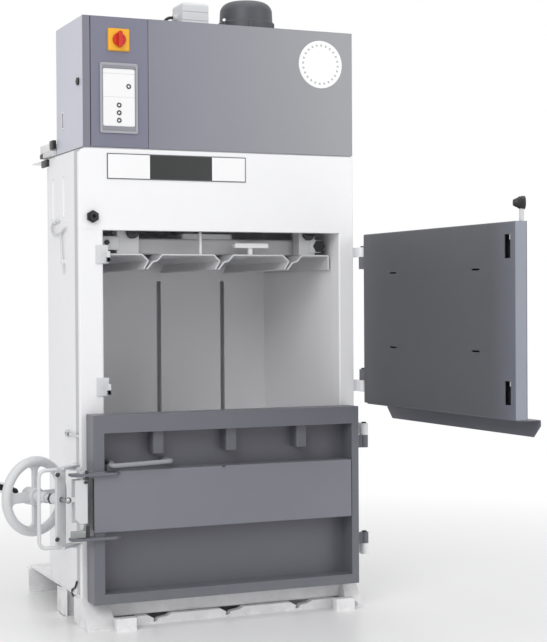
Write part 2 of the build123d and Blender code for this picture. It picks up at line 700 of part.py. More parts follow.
def make_lock():
    bar_low = 264 - tip_z
    bar_high = 516 - tip_z
    flat = extrude(lock_plane(33) * Pos(0, (bar_low + bar_high) / 2) * Rectangle(37, bar_high - bar_low), 10)
    flat = fillet(flat.edges().filter_by(Axis.Z), 2)
    flat += bar(on_lock(33, 0, 0), lock_line, 17, 37)
    flat += bar(on_lock(70, 0, 0), lock_line, 13, 31)
    centre = on_lock(38, 0, 0)
    pivot = (lock_pivot_x, lock_pivot_y)
    away = (pivot[0] - centre[0], pivot[1] - centre[1])
    reach = math.hypot(*away)
    heading = math.degrees(math.atan2(away[1], away[0]))
    for z in (264, 508):
        arm = Pos(centre[0], centre[1], z) * Rot(0, 0, heading) * Pos(reach / 2, 0, 4) * Box(reach, 30, 8)
        arm += bar((pivot[0], pivot[1], z), (0, 0, 1), 16, 8)
        arm -= bar((pivot[0], pivot[1], z - 1), (0, 0, 1), 6 + running_gap, 10)
        flat += arm
    flat -= bar(on_lock(20, 0, 0), lock_line, pull_radius + running_gap, 100)
    top = 510.0
    low = 271.0
    left = (-635.0, -60.0)
    root = (centre[0] - 12 * lock_side[0], centre[1] - 12 * lock_side[1])
    bow = tube_along(
        [(root[0], root[1], top), (left[0], left[1], top), (left[0], left[1], low), (root[0], root[1], low)], 6.0, 22)
    save("lock_bar", flat + bow)

    plates = []
    for z in (272, 500):
        plate_2 = block(-520, body_left, -7, 36, z, z + 8)
        plate_2 = fillet(plate_2.edges().filter_by(Axis.Z).group_by(Axis.X)[0], 12)
        plate_2 -= bar((pivot[0], pivot[1], z - 1), (0, 0, 1), 6, 10)
        plates.append(plate_2)
    for low_z, high_z in ((264, 280), (500, 516)):
        plates.append(bar((pivot[0], pivot[1], low_z), (0, 0, 1), 6, high_z - low_z))
    for z, turn in ((264, -1), (516, 1)):
        head = extrude(Pos(pivot[0], pivot[1], z) * RegularPolygon(11, 6), turn * 8)
        plates.append(head)
    save("lock_bracket", plates[0], plates[1], plates[2] + plates[4], plates[3] + plates[5])

    rod = bar(on_lock(0, 0, 0), lock_line, pull_radius, 206)
    rod -= bar(on_lock(-2, 0, 0), lock_line, 20, 38)
    rod += bar(on_lock(0, 0, 0), lock_line, 6, 38)
    rod += Pos(*on_lock(0, 0, 0)) * Sphere(10)
    save("pull_rod", rod)

    place = rim_place
    rim = lock_plane(place) * Torus(wheel_radius, rim_radius)
    hub = bar(on_lock(148, 0, 0), lock_line, 23, 50)
    hub += bar(on_lock(101, 0, 0), lock_line, 17, 47)
    wheel = rim + hub
    for angle in (0, 90, 180, 270):
        spoke = lock_plane(place + 4) * Rot(0, 0, angle) * loft([
            Plane.YZ.offset(16) * Pos(0, 8) * Ellipse(15, 8).face(),
            Plane.YZ.offset(70) * Pos(0, 2) * Ellipse(9, 6.5).face(),
            Plane.YZ.offset(wheel_radius - 4) * Pos(0, -3) * Ellipse(13, 6.5).face()])
        wheel += spoke
    wheel -= bar(on_lock(99, 0, 0), lock_line, pull_radius + running_gap, 110)
    grip_angle = math.radians(162)
    left_part = -math.cos(grip_angle)
    up_part = math.sin(grip_angle)
    inward = Vector(lock_side[0] * left_part, lock_side[1] * left_part, -up_part)
    across = Vector(*lock_line).cross(inward)
    pin_place = 36.0
    start = on_lock(place + pin_place, -left_part * wheel_radius, up_part * wheel_radius)
    fold = Plane(origin=start, x_dir=across, z_dir=inward)
    for side in (-12.3, 12.3):
        ear = Pos(side, (8 - pin_place + 6) / 2, 0) * Box(4, 8 + pin_place - 6, 15)
        wheel += fold * ear
    pin = Plane(origin=start, z_dir=across) * Cylinder(3, 28.6)
    wheel += pin
    save("handwheel", wheel)

    with BuildPart() as grip:
        with BuildSketch(Plane.XZ):
            with BuildLine():
                Polyline((0, -10), (6, -10), (9.5, -6), (9.5, 8), (12.5, 18), (13, 42), (11, 64), (7, 70), (0, 70),
                         (0, -10))
            make_face()
        revolve(axis=Axis.Z)
    handle = fold * grip.part
    save("crank_grip", handle - Plane(origin=start, z_dir=across) * Cylinder(3 + running_gap, 40))


make_base()
make_front_bar()
make_chamber()
make_front_frame()
make_cylinder()
make_platen()
make_head()
make_controls()
make_labels()
make_hinges()
make_upper_door()
make_lower_door()
make_lock()
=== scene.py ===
import bmesh
import bpy
import math
from mathutils import Matrix, Vector


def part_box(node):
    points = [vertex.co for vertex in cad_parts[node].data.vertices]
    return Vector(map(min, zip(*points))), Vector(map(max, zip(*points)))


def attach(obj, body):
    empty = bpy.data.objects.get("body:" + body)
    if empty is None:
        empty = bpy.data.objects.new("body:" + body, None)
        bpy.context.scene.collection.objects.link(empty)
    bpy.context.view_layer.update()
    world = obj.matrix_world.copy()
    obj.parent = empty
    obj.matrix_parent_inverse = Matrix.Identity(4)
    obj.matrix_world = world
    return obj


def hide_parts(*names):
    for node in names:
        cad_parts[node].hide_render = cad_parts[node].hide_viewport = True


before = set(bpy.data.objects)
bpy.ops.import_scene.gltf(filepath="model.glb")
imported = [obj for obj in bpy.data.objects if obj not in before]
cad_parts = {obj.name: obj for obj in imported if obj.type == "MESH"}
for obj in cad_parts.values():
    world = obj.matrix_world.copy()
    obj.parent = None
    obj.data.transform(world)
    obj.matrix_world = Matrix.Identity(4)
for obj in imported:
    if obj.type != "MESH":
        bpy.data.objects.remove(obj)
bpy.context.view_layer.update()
print("frame loaded")

mm = 0.001


# camera

cameraSettings = {
    "place": (-1.8189, -4.5843, 1.0195),
    "yaw": 0.406,       # turned right of +Y
    "pitch": -0.012,
    "roll": -0.006,
    "lens": 85.0,
    "shiftX": 0.0107,
}


def makeCamera(s):
    data = bpy.data.cameras.new("camera")
    data.lens = s["lens"]
    data.sensor_width = 36.0
    data.sensor_fit = "AUTO"
    data.shift_x = s["shiftX"]
    data.clip_end = 60.0
    camera = bpy.data.objects.new("camera", data)
    turn = Matrix.Rotation(-s["yaw"], 4, "Z") @ Matrix.Rotation(math.pi / 2 + s["pitch"], 4, "X")
    turn = turn @ Matrix.Rotation(s["roll"], 4, "Z")
    camera.matrix_world = Matrix.Translation(s["place"]) @ turn
    bpy.context.scene.collection.objects.link(camera)
    bpy.context.scene.camera = camera


makeCamera(cameraSettings)
print("camera set")


# shared shader groups

def newGroup(name, inputs, outputs):
    group = bpy.data.node_groups.new(name, "ShaderNodeTree")
    for kind, socketName, value in inputs:
        socket = group.interface.new_socket(name=socketName, in_out="INPUT", socket_type=kind)
        socket.default_value = value
    for kind, socketName in outputs:
        group.interface.new_socket(name=socketName, in_out="OUTPUT", socket_type=kind)
    start = group.nodes.new("NodeGroupInput")
    end = group.nodes.new("NodeGroupOutput")
    return group, start, end


def addNode(tree, kind, **settings):
    node = tree.nodes.new(kind)
    for key, value in settings.items():
        setattr(node, key, value)
    return node


def feed(tree, socket, value):    # with a plain value, or with a link from another node
    if isinstance(value, (int, float, tuple)):
        socket.default_value = value
    else:
        tree.links.new(value, socket)


def addNoise(tree, vector, scale, detail, rough):
    noise = addNode(tree, "ShaderNodeTexNoise")
    noise.inputs["Detail"].default_value = detail
    noise.inputs["Roughness"].default_value = rough
    tree.links.new(vector, noise.inputs["Vector"])
    feed(tree, noise.inputs["Scale"], scale)
    return noise


def addMath(tree, operation, a, b=None, clamp=False):
    node = addNode(tree, "ShaderNodeMath", operation=operation, use_clamp=clamp)
    for index, value in enumerate((a, b)):
        if value is not None:
            feed(tree, node.inputs[index], value)
    return node.outputs[0]


def addRange(tree, value, low, high, toLow=0.0, toHigh=1.0):
    node = addNode(tree, "ShaderNodeMapRange")
    tree.links.new(value, node.inputs["Value"])
    for socket, number in (("From Min", low), ("From Max", high), ("To Min", toLow), ("To Max", toHigh)):
        feed(tree, node.inputs[socket], number)
    return node.outputs["Result"]


def addMix(tree, factor, a, b):
    node = addNode(tree, "ShaderNodeMix", data_type="RGBA")
    for socket, value in ((node.inputs["Factor"], factor), (node.inputs[6], a), (node.inputs[7], b)):
        feed(tree, socket, value)
    return node.outputs[2]


coatLook = {"cloud": (2.6, 4.0, 0.55), "patch": (14.0, 3.0, 0.6), "grain": (2.0, 0.6), "cloudShare": 0.6,
            "patchShare": 0.4, "colourGain": 4.0, "roughGain": 2.0}
dustLook = {"topFrom": 0.6, "topShare": 0.6, "patch": (22.0, 4.0, 0.65), "broken": (0.35, 0.7)}
wearAndHighlightLook = {"samples": 4, "edge": (0.98, 0.8), "patch": (60.0, 4.0, 0.7), "broken": (0.42, 0.62)}


def makeCoatGroup(s):
    group, start, end = newGroup(
        "powderCoat",
        [("NodeSocketColor", "Colour", (0.5, 0.5, 0.5, 1.0)), ("NodeSocketFloat", "Spread", 0.06),
         ("NodeSocketFloat", "Grain Scale", 900.0), ("NodeSocketFloat", "Roughness", 0.45),
         ("NodeSocketFloat", "Roughness Spread", 0.08)],
        [("NodeSocketColor", "Colour"), ("NodeSocketFloat", "Roughness"), ("NodeSocketFloat", "Height")])
    place = addNode(group, "ShaderNodeTexCoord").outputs["Object"]
    cloud = addNoise(group, place, *s["cloud"])
    patch = addNoise(group, place, *s["patch"])
    grain = addNoise(group, place, start.outputs["Grain Scale"], *s["grain"])
    both = addMath(group, "ADD", addMath(group, "MULTIPLY", cloud.outputs["Fac"], s["cloudShare"]),
                   addMath(group, "MULTIPLY", patch.outputs["Fac"], s["patchShare"]))
    centred = addMath(group, "SUBTRACT", both, 0.5)
    spread = addMath(group, "MULTIPLY", addMath(group, "MULTIPLY", centred, start.outputs["Spread"]),
                     s["colourGain"])
    shade = addMath(group, "ADD", spread, 1.0)
    scaled = addNode(group, "ShaderNodeVectorMath", operation="SCALE")
    group.links.new(start.outputs["Colour"], scaled.inputs[0])
    group.links.new(shade, scaled.inputs["Scale"])
    group.links.new(scaled.outputs[0], end.inputs["Colour"])
    uneven = addMath(group, "MULTIPLY", addMath(group, "SUBTRACT", patch.outputs["Fac"], 0.5),
                     start.outputs["Roughness Spread"])
    uneven = addMath(group, "MULTIPLY", uneven, s["roughGain"])
    rough = addMath(group, "ADD", uneven, start.outputs["Roughness"], clamp=True)
    group.links.new(rough, end.inputs["Roughness"])
    group.links.new(grain.outputs["Fac"], end.inputs["Height"])
    return group


def makeDustGroup(s):
    group, start, end = newGroup(
        "floorDust",
        [("NodeSocketColor", "Colour", (0.5, 0.5, 0.5, 1.0)),
         ("NodeSocketColor", "Dust Colour", (0.42, 0.39, 0.35, 1.0)),
         ("NodeSocketFloat", "Amount", 0.2), ("NodeSocketFloat", "Reach", 0.16)],
        [("NodeSocketColor", "Colour"), ("NodeSocketFloat", "Mask")])
    place = addNode(group, "ShaderNodeTexCoord").outputs["Object"]
    split = addNode(group, "ShaderNodeSeparateXYZ")
    group.links.new(place, split.inputs[0])
    low = addRange(group, split.outputs["Z"], 0.0, start.outputs["Reach"], 1.0, 0.0)
    normal = addNode(group, "ShaderNodeNewGeometry").outputs["Normal"]
    facing = addNode(group, "ShaderNodeSeparateXYZ")
    group.links.new(normal, facing.inputs[0])
    top = addRange(group, facing.outputs["Z"], s["topFrom"], 1.0)
    patch = addNoise(group, place, *s["patch"])
    broken = addRange(group, patch.outputs["Fac"], *s["broken"])
    either = addMath(group, "ADD", low, addMath(group, "MULTIPLY", top, s["topShare"]), clamp=True)
    mask = addMath(group, "MULTIPLY", addMath(group, "MULTIPLY", either, broken), start.outputs["Amount"])
    group.links.new(addMix(group, mask, start.outputs["Colour"], start.outputs["Dust Colour"]), end.inputs["Colour"])
    group.links.new(mask, end.inputs["Mask"])
    return group


# edge colour from the bevel normal: real wear where the paint rubs thin, and on the darker paints a painted highlight
# along the edges
def makeWearAndHighlightGroup(s):
    group, start, end = newGroup(
        "edgeWearAndHighlight",
        [("NodeSocketFloat", "Radius", 0.0015), ("NodeSocketFloat", "Amount", 0.5)],
        [("NodeSocketFloat", "Mask"), ("NodeSocketVector", "Normal")])
    bevel = addNode(group, "ShaderNodeBevel", samples=s["samples"])
    group.links.new(start.outputs["Radius"], bevel.inputs["Radius"])
    normal = addNode(group, "ShaderNodeNewGeometry").outputs["Normal"]
    dot = addNode(group, "ShaderNodeVectorMath", operation="DOT_PRODUCT")
    group.links.new(bevel.outputs["Normal"], dot.inputs[0])
    group.links.new(normal, dot.inputs[1])
    edge = addRange(group, dot.outputs["Value"], *s["edge"])
    place = addNode(group, "ShaderNodeTexCoord").outputs["Object"]
    broken = addRange(group, addNoise(group, place, *s["patch"]).outputs["Fac"], *s["broken"])
    mask = addMath(group, "MULTIPLY", addMath(group, "MULTIPLY", edge, broken), start.outputs["Amount"])
    group.links.new(mask, end.inputs["Mask"])
    group.links.new(bevel.outputs["Normal"], end.inputs["Normal"])
    return group


coatGroup = makeCoatGroup(coatLook)
dustGroup = makeDustGroup(dustLook)
wearAndHighlightGroup = makeWearAndHighlightGroup(wearAndHighlightLook)


# finishes

def fromScreen(red, green, blue):
    def curve(c):
        c = c / 255.0
        return c / 12.92 if c <= 0.04045 else ((c + 0.055) / 1.055) ** 2.4
    return (curve(red), curve(green), curve(blue), 1.0)


def newMaterial(name):
    material = bpy.data.materials.new(name)
    material.use_nodes = True
    tree = material.node_tree
    return material, tree, tree.nodes["Principled BSDF"]


def addGroup(tree, group, **values):
    node = addNode(tree, "ShaderNodeGroup", node_tree=group)
    for key, value in values.items():
        node.inputs[key.replace("_", " ")].default_value = value
    return node


paintDefaults = {"grain": 900.0, "metal": 0.0, "roughSpread": 0.06, "edge": 0.0012, "bumpDepth": 0.0004,
                 "dustRough": 0.4}


def makePaint(name, own):
    s = {**paintDefaults, "wearAndHighlightColour": own["colour"], **own}
    material, tree, shader = newMaterial(name)
    coat = addGroup(tree, coatGroup, Colour=s["colour"], Spread=s["spread"], Grain_Scale=s["grain"],
                    Roughness=s["rough"], Roughness_Spread=s["roughSpread"])
    if "pattern" in s:
        tree.links.new(s["pattern"](tree, s), coat.inputs["Colour"])
    wearAndHighlight = addGroup(tree, wearAndHighlightGroup, Radius=s["edge"], Amount=s["wearAndHighlight"])
    # edges take the wear colour, which on the darker paints is a painted highlight
    colour = addMix(tree, wearAndHighlight.outputs["Mask"], coat.outputs["Colour"], s["wearAndHighlightColour"])
    dust = addGroup(tree, dustGroup, Amount=s["dust"])
    tree.links.new(colour, dust.inputs["Colour"])
    tree.links.new(dust.outputs["Colour"], shader.inputs["Base Color"])
    dulled = addMath(tree, "MULTIPLY", dust.outputs["Mask"], s["dustRough"])
    rough = addMath(tree, "ADD", coat.outputs["Roughness"], dulled, clamp=True)
    tree.links.new(rough, shader.inputs["Roughness"])
    bump = addNode(tree, "ShaderNodeBump")
    bump.inputs["Strength"].default_value = s["bump"]
    bump.inputs["Distance"].default_value = s["bumpDepth"]
    tree.links.new(coat.outputs["Height"], bump.inputs["Height"])
    tree.links.new(wearAndHighlight.outputs["Normal"], bump.inputs["Normal"])
    tree.links.new(bump.outputs["Normal"], shader.inputs["Normal"])
    shader.inputs["Metallic"].default_value = s["metal"]
    return material


def addBand(tree, value, low, high):
    above = addMath(tree, "GREATER_THAN", value, low)
    return addMath(tree, "MULTIPLY", above, addMath(tree, "LESS_THAN", value, high))


def objectAxes(tree):
    place = addNode(tree, "ShaderNodeTexCoord").outputs["Object"]
    split = addNode(tree, "ShaderNodeSeparateXYZ")
    tree.links.new(place, split.inputs[0])
    return split.outputs["X"], split.outputs["Y"], split.outputs["Z"]


def hoodPaintedLight(tree, s):    # painted light: the hood's colour is painted lighter towards its right end, where it catches more light
    x, y, z = objectAxes(tree)
    return addMix(tree, addRange(tree, x, s["from"], s["to"]), s["colour"], s["paintedLightColour"])


def shellPaintedReflection(tree, s):    # painted reflection: the head's outer left face is painted a lighter grey than its front edge, for the bright surroundings it reflects at a grazing angle
    x, y, z = objectAxes(tree)
    return addMix(tree, addMath(tree, "LESS_THAN", x, s["face"]), s["colour"], s["paintedReflectionColour"])


# painted light: the tray's colour is painted lighter and bluer towards its latch end, where more light falls, and its
# end face lighter still
def doorPaintedLight(tree, s):
    x, y, z = objectAxes(tree)
    inner = addMix(tree, addRange(tree, y, s["shadeFrom"], s["shadeTo"]), s["colour"], s["paintedLitColour"])
    return addMix(tree, addMath(tree, "LESS_THAN", y, s["end"]), inner, s["paintedLitEndColour"])


# painted shade: the floor of the recess behind the post's front is painted darker, for the shade that falls there
def paintedRecessShade(tree, s):
    x, y, z = objectAxes(tree)
    inside = addMath(tree, "MULTIPLY", addBand(tree, x, *s["recess"]), addMath(tree, "GREATER_THAN", y, s["behind"]))
    return addMix(tree, inside, s["colour"], s["paintedRecessShade"])


def labelColour(tree, s):    # a plain bordered plate, and a plain disc with a ring of ticks
    x, y, z = objectAxes(tree)
    inside = addMath(tree, "MULTIPLY", addBand(tree, x, *s["plateX"]), addBand(tree, z, *s["plateZ"]))
    plate = addMix(tree, addBand(tree, x, *s["fieldX"]), s["colour"], s["fieldColour"])
    plate = addMix(tree, inside, s["lineColour"], plate)
    across = addMath(tree, "SUBTRACT", x, s["disc"][0])
    up = addMath(tree, "SUBTRACT", z, s["disc"][1])
    squares = addMath(tree, "ADD", addMath(tree, "MULTIPLY", across, across), addMath(tree, "MULTIPLY", up, up))
    turn = addMath(tree, "MULTIPLY", addMath(tree, "ARCTAN2", up, across), s["ticks"] / (2.0 * math.pi))
    ticks = addMath(tree, "GREATER_THAN", addMath(tree, "FRACT", turn), s["tickGap"])
    ring = addMath(tree, "MULTIPLY", addBand(tree, addMath(tree, "SQRT", squares), *s["ring"]), ticks)
    disc = addMix(tree, addMath(tree, "MULTIPLY", ring, s["tickStrength"]), s["colour"], s["lineColour"])
    return addMix(tree, addMath(tree, "GREATER_THAN", z, s["discFrom"]), plate, disc)


def membraneColour(tree, s):
    x, y, z = objectAxes(tree)
    lines = addMath(tree, "MAXIMUM", addBand(tree, z, *s["upperLine"]), addBand(tree, z, *s["lowerLine"]))
    return addMix(tree, addMath(tree, "MULTIPLY", lines, s["lineStrength"]), s["colour"], s["lineColour"])


paints = {
    # the hood's grey with painted light, lighter towards its right end
    "hoodPaint": {"colour": fromScreen(130, 131, 142), "paintedLightColour": fromScreen(156, 157, 161), "from": -0.25,
                  "to": 0.42, "spread": 0.03, "rough": 0.42, "bump": 0.2, "grain": 700.0, "wearAndHighlight": 0.3,
                  "wearAndHighlightColour": fromScreen(165, 166, 172), "dust": 0.1, "pattern": hoodPaintedLight},
    # the head's grey with a painted reflection, lighter on its outer left face
    "shellPaint": {"colour": fromScreen(124, 124, 136), "paintedReflectionColour": fromScreen(203, 204, 216), "face": -0.4694,
                   "spread": 0.03, "rough": 0.4, "bump": 0.2, "grain": 700.0, "wearAndHighlight": 0.3,
                   "wearAndHighlightColour": fromScreen(170, 171, 180), "dust": 0.1, "pattern": shellPaintedReflection},
    "cabinetPaint": {"colour": fromScreen(120, 121, 138), "spread": 0.03, "rough": 0.42, "bump": 0.2,
                     "grain": 700.0, "wearAndHighlight": 0.5, "wearAndHighlightColour": fromScreen(165, 166, 180), "dust": 0.1},
    "framePlastic": {"colour": fromScreen(166, 166, 173), "spread": 0.02, "rough": 0.35, "bump": 0.08,
                     "wearAndHighlight": 0.3, "wearAndHighlightColour": fromScreen(190, 190, 196), "dust": 0.05},
    "bandPlastic": {"colour": fromScreen(140, 140, 148), "spread": 0.02, "rough": 0.38, "bump": 0.1,
                    "wearAndHighlight": 0.2, "wearAndHighlightColour": fromScreen(170, 170, 178), "dust": 0.05},
    # the door's grey with painted light, lighter towards the latch end and on the end face
    "doorPaint": {"colour": fromScreen(92, 93, 98), "paintedLitColour": fromScreen(108, 111, 122), "shadeFrom": -0.82,
                  "shadeTo": -0.94, "end": -0.9465, "paintedLitEndColour": fromScreen(146, 151, 163), "spread": 0.05,
                  "rough": 0.42, "bump": 0.22, "grain": 700.0, "wearAndHighlight": 0.4, "wearAndHighlightColour": fromScreen(140, 143, 152),
                  "dust": 0.1, "pattern": doorPaintedLight},
    "ringPaint": {"colour": fromScreen(108, 109, 117), "spread": 0.05, "rough": 0.4, "bump": 0.22, "grain": 700.0,
                  "wearAndHighlight": 0.5, "wearAndHighlightColour": fromScreen(148, 149, 156), "dust": 0.12},
    "bandPaint": {"colour": fromScreen(124, 125, 133), "spread": 0.04, "rough": 0.4, "bump": 0.22, "grain": 700.0,
                  "wearAndHighlight": 0.45, "wearAndHighlightColour": fromScreen(158, 159, 166), "dust": 0.12},
    "wheelPaint": {"colour": fromScreen(216, 217, 219), "spread": 0.03, "rough": 0.36, "bump": 0.12, "wearAndHighlight": 0.3,
                   "wearAndHighlightColour": fromScreen(188, 188, 190), "dust": 0.12},
    # white paint with painted shade, darker on the floor of the recess behind the post's front
    "postPaint": {"colour": fromScreen(245, 245, 247), "paintedRecessShade": fromScreen(196, 196, 200),
                  "recess": (-0.4712, -0.4690), "behind": 0.0205, "spread": 0.02, "rough": 0.42, "bump": 0.1,
                  "wearAndHighlight": 0.25, "wearAndHighlightColour": fromScreen(205, 204, 203), "dust": 0.2, "pattern": paintedRecessShade},
    "labelFilm": {"colour": fromScreen(247, 247, 248), "fieldColour": fromScreen(34, 35, 36),
                  "lineColour": fromScreen(88, 88, 90), "plateX": (-0.389, 0.077), "plateZ": (1.416, 1.491),
                  "fieldX": (-0.250, -0.038), "disc": (0.352, 1.813), "discFrom": 1.6, "ticks": 24,
                  "tickGap": 0.62, "tickStrength": 0.55,
                  "ring": (0.0600, 0.0675), "spread": 0.01, "rough": 0.3, "bump": 0.05, "wearAndHighlight": 0.0,
                  "wearAndHighlightColour": fromScreen(236, 236, 236), "dust": 0.04, "pattern": labelColour},
    "membraneFilm": {"colour": fromScreen(243, 243, 244), "lineColour": fromScreen(150, 152, 156),
                     "upperLine": (1.7435, 1.7455), "lowerLine": (1.6700, 1.6716), "lineStrength": 0.35,
                     "spread": 0.01, "rough": 0.3, "bump": 0.05, "wearAndHighlight": 0.0,
                     "wearAndHighlightColour": fromScreen(236, 236, 236), "dust": 0.03, "pattern": membraneColour},
    "zincPlate": {"colour": fromScreen(150, 154, 152), "spread": 0.12, "rough": 0.42, "bump": 0.25, "grain": 300.0,
                  "wearAndHighlight": 0.4, "wearAndHighlightColour": fromScreen(190, 193, 192), "metal": 0.6, "dust": 0.15},
    "greasedSteel": {"colour": fromScreen(58, 58, 60), "spread": 0.12, "rough": 0.38, "bump": 0.3, "grain": 500.0,
                     "wearAndHighlight": 0.5, "wearAndHighlightColour": fromScreen(130, 130, 130), "metal": 0.4, "dust": 0.1},
    "castSteel": {"colour": fromScreen(214, 214, 216), "spread": 0.08, "rough": 0.4, "bump": 0.2, "grain": 500.0,
                  "wearAndHighlight": 0.4, "wearAndHighlightColour": fromScreen(200, 200, 200), "dust": 0.12},
    "whitePaint": {"colour": fromScreen(247, 247, 249), "spread": 0.02, "rough": 0.42, "bump": 0.10, "wearAndHighlight": 0.25,
                   "wearAndHighlightColour": fromScreen(205, 204, 203), "dust": 0.30},
    "greyPaint": {"colour": fromScreen(104, 104, 113), "spread": 0.05, "rough": 0.40, "bump": 0.22, "grain": 700.0,
                  "wearAndHighlight": 0.35, "wearAndHighlightColour": fromScreen(136, 136, 143), "dust": 0.16},
    "darkPaint": {"colour": fromScreen(74, 76, 82), "spread": 0.06, "rough": 0.45, "bump": 0.2, "wearAndHighlight": 0.3,
                  "wearAndHighlightColour": fromScreen(110, 111, 115), "dust": 0.2},
    "lightGreyPaint": {"colour": fromScreen(146, 147, 153), "spread": 0.03, "rough": 0.38, "bump": 0.1, "wearAndHighlight": 0.3,
                       "wearAndHighlightColour": fromScreen(160, 160, 160), "dust": 0.15},
    "blackPlastic": {"colour": fromScreen(28, 28, 30), "spread": 0.08, "rough": 0.42, "bump": 0.25, "grain": 500.0,
                     "wearAndHighlight": 0.3, "wearAndHighlightColour": fromScreen(60, 60, 62), "dust": 0.1},
    "palePlastic": {"colour": fromScreen(232, 232, 232), "spread": 0.02, "rough": 0.35, "bump": 0.08, "wearAndHighlight": 0.1,
                    "wearAndHighlightColour": fromScreen(210, 210, 210), "dust": 0.05},
    "yellowPlastic": {"colour": fromScreen(242, 180, 40), "spread": 0.03, "rough": 0.32, "bump": 0.08, "wearAndHighlight": 0.2,
                      "wearAndHighlightColour": fromScreen(250, 205, 90), "dust": 0.05},
    "redPlastic": {"colour": fromScreen(206, 46, 24), "spread": 0.04, "rough": 0.3, "bump": 0.08, "wearAndHighlight": 0.2,
                   "wearAndHighlightColour": fromScreen(230, 90, 60), "dust": 0.05},
    "bareSteel": {"colour": fromScreen(176, 176, 178), "spread": 0.06, "rough": 0.34, "bump": 0.15, "grain": 1200.0,
                  "wearAndHighlight": 0.2, "wearAndHighlightColour": fromScreen(205, 205, 206), "metal": 1.0, "dust": 0.05},
    "chromedSteel": {"colour": fromScreen(205, 206, 208), "spread": 0.03, "rough": 0.14, "bump": 0.04, "wearAndHighlight": 0.05,
                     "metal": 1.0, "dust": 0.02},
}
finish = {name: makePaint(name, own) for name, own in paints.items()}

nodeFinish = {
    "whitePaint": ["base_plate", "base_feet", "front_feet", "front_bar", "sill", "chamber_floor", "chamber_walls",
                   "chamber_rear", "rear_ribs", "right_post", "side_covers", "top_deck", "cylinder_beam",
                   "frame_knuckles", "lock_bracket", "platen_beams"],
    "postPaint": ["left_post", "fascia"],
    "wheelPaint": ["handwheel", "lock_bar", "link_channel", "terminal_box", "latch_catches"],
    "castSteel": ["platen_sections", "guide_arms"],
    "hoodPaint": ["hood_front"],
    "shellPaint": ["head_shell"],
    "cabinetPaint": ["cabinet_door"],
    "doorPaint": ["upper_door_tray"],
    "ringPaint": ["lower_door_rim", "upper_door_skin", "door_lip", "door_claws"],
    "greyPaint": ["lower_door_skin", "strap_clips"],
    "bandPaint": ["lower_door_band"],
    "darkPaint": ["cylinder_barrel", "power_unit", "fan_cowl"],
    "lightGreyPaint": ["door_handle", "latch_rod"],
    "framePlastic": ["keypad_frame"],
    "membraneFilm": ["keypad_membrane"],
    "labelFilm": ["label_plates"],
    "palePlastic": ["control_box", "key_1", "key_2", "key_3", "key_4"],
    "blackPlastic": ["box_cable", "hex_sensor", "side_lock", "rod_cone", "crank_grip"],
    "yellowPlastic": ["switch_plate"],
    "redPlastic": ["switch_handle"],
    "bareSteel": ["hydraulic_pipes", "hinge_pins", "pull_rod"],
    "chromedSteel": ["piston_rod"],
}


def paintNodes(table):
    for name, nodes in table.items():
        for node in nodes:
            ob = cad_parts[node]
            ob.data.materials.clear()
            ob.data.materials.append(finish[name])


paintNodes(nodeFinish)
print("finishes set")


# shapes, in millimetres until a piece is finished

def soften(bm, edges, offset, segments=2):
    bmesh.ops.bevel(bm, geom=edges, offset=offset, segments=segments, profile=0.5, affect="EDGES", material=-1)


def vertsSince(bm, old):
    return [v for v in bm.verts if v not in old]


def newBlock(bm, low, high, soft=0.0):
    made = bmesh.ops.create_cube(bm, size=1.0)["verts"]
    bmesh.ops.scale(bm, vec=[h - l for l, h in zip(low, high)], verts=made)
    bmesh.ops.translate(bm, vec=[(l + h) / 2 for l, h in zip(low, high)], verts=made)
    if soft:
        soften(bm, list({edge for vert in made for edge in vert.link_edges}), soft)


def alongAxis(start, axis):
    return Matrix.Translation(Vector(start)) @ Vector(axis).to_track_quat("Z", "Y").to_matrix().to_4x4()


def newTurned(bm, profile, origin, axis, segments=32, closed=False):
    old = set(bm.verts)
    verts = [bm.verts.new((r, 0.0, h)) for r, h in profile]
    edges = [bm.edges.new(pair) for pair in zip(verts, verts[1:] + (verts[:1] if closed else []))]
    bmesh.ops.spin(bm, geom=verts + edges, cent=(0, 0, 0), axis=(0, 0, 1), dvec=(0, 0, 0),
                   angle=2 * math.pi, steps=segments, use_merge=True)
    bmesh.ops.remove_doubles(bm, verts=vertsSince(bm, old), dist=0.001)
    bmesh.ops.transform(bm, matrix=alongAxis(origin, axis), verts=vertsSince(bm, old))


def newPin(bm, origin, axis, radius, length, soft=1.0, segments=24):
    profile = [(0, 0), (radius, 0), (radius, length - soft), (radius - soft, length), (0, length)]
    newTurned(bm, profile, origin, axis, segments)


quarterHandle = 0.5523    # a quarter circle's handle length, as a share of its radius


def newTube(bm, points, radius, corner):    # straight runs with round corners
    curve = bpy.data.curves.new("tubeLine", "CURVE")
    curve.dimensions = "3D"
    curve.bevel_depth = radius
    curve.bevel_resolution = 4
    curve.resolution_u = 6
    curve.use_fill_caps = True
    line = [Vector(p) for p in points]
    knots = [[line[0], line[0], line[0]]]
    for before, here, after in zip(line, line[1:], line[2:]):
        back, on = (before - here).normalized(), (after - here).normalized()
        start, end = here + back * corner, here + on * corner
        knots.append([start, start, start - back * corner * quarterHandle])
        knots.append([end - on * corner * quarterHandle, end, end])
    knots.append([line[-1], line[-1], line[-1]])
    for left, right in zip(knots[::2], knots[1::2]):    # handles a third of the way along each straight run
        left[2] = left[1].lerp(right[1], 1 / 3)
        right[0] = right[1].lerp(left[1], 1 / 3)
    spline = curve.splines.new("BEZIER")
    spline.bezier_points.add(len(knots) - 1)
    for point, (left, middle, right) in zip(spline.bezier_points, knots):
        point.handle_left_type = point.handle_right_type = "FREE"
        point.co, point.handle_left, point.handle_right = middle, left, right
    holder = bpy.data.objects.new("tubeLine", curve)
    mesh = bpy.data.meshes.new_from_object(holder)
    bm.from_mesh(mesh)
    bpy.data.objects.remove(holder)
    bpy.data.meshes.remove(mesh)
    bpy.data.curves.remove(curve)


def shifted(place, corner):
    return [a + b for a, b in zip(place, corner)]


sharpAngle = 0.6    # radians


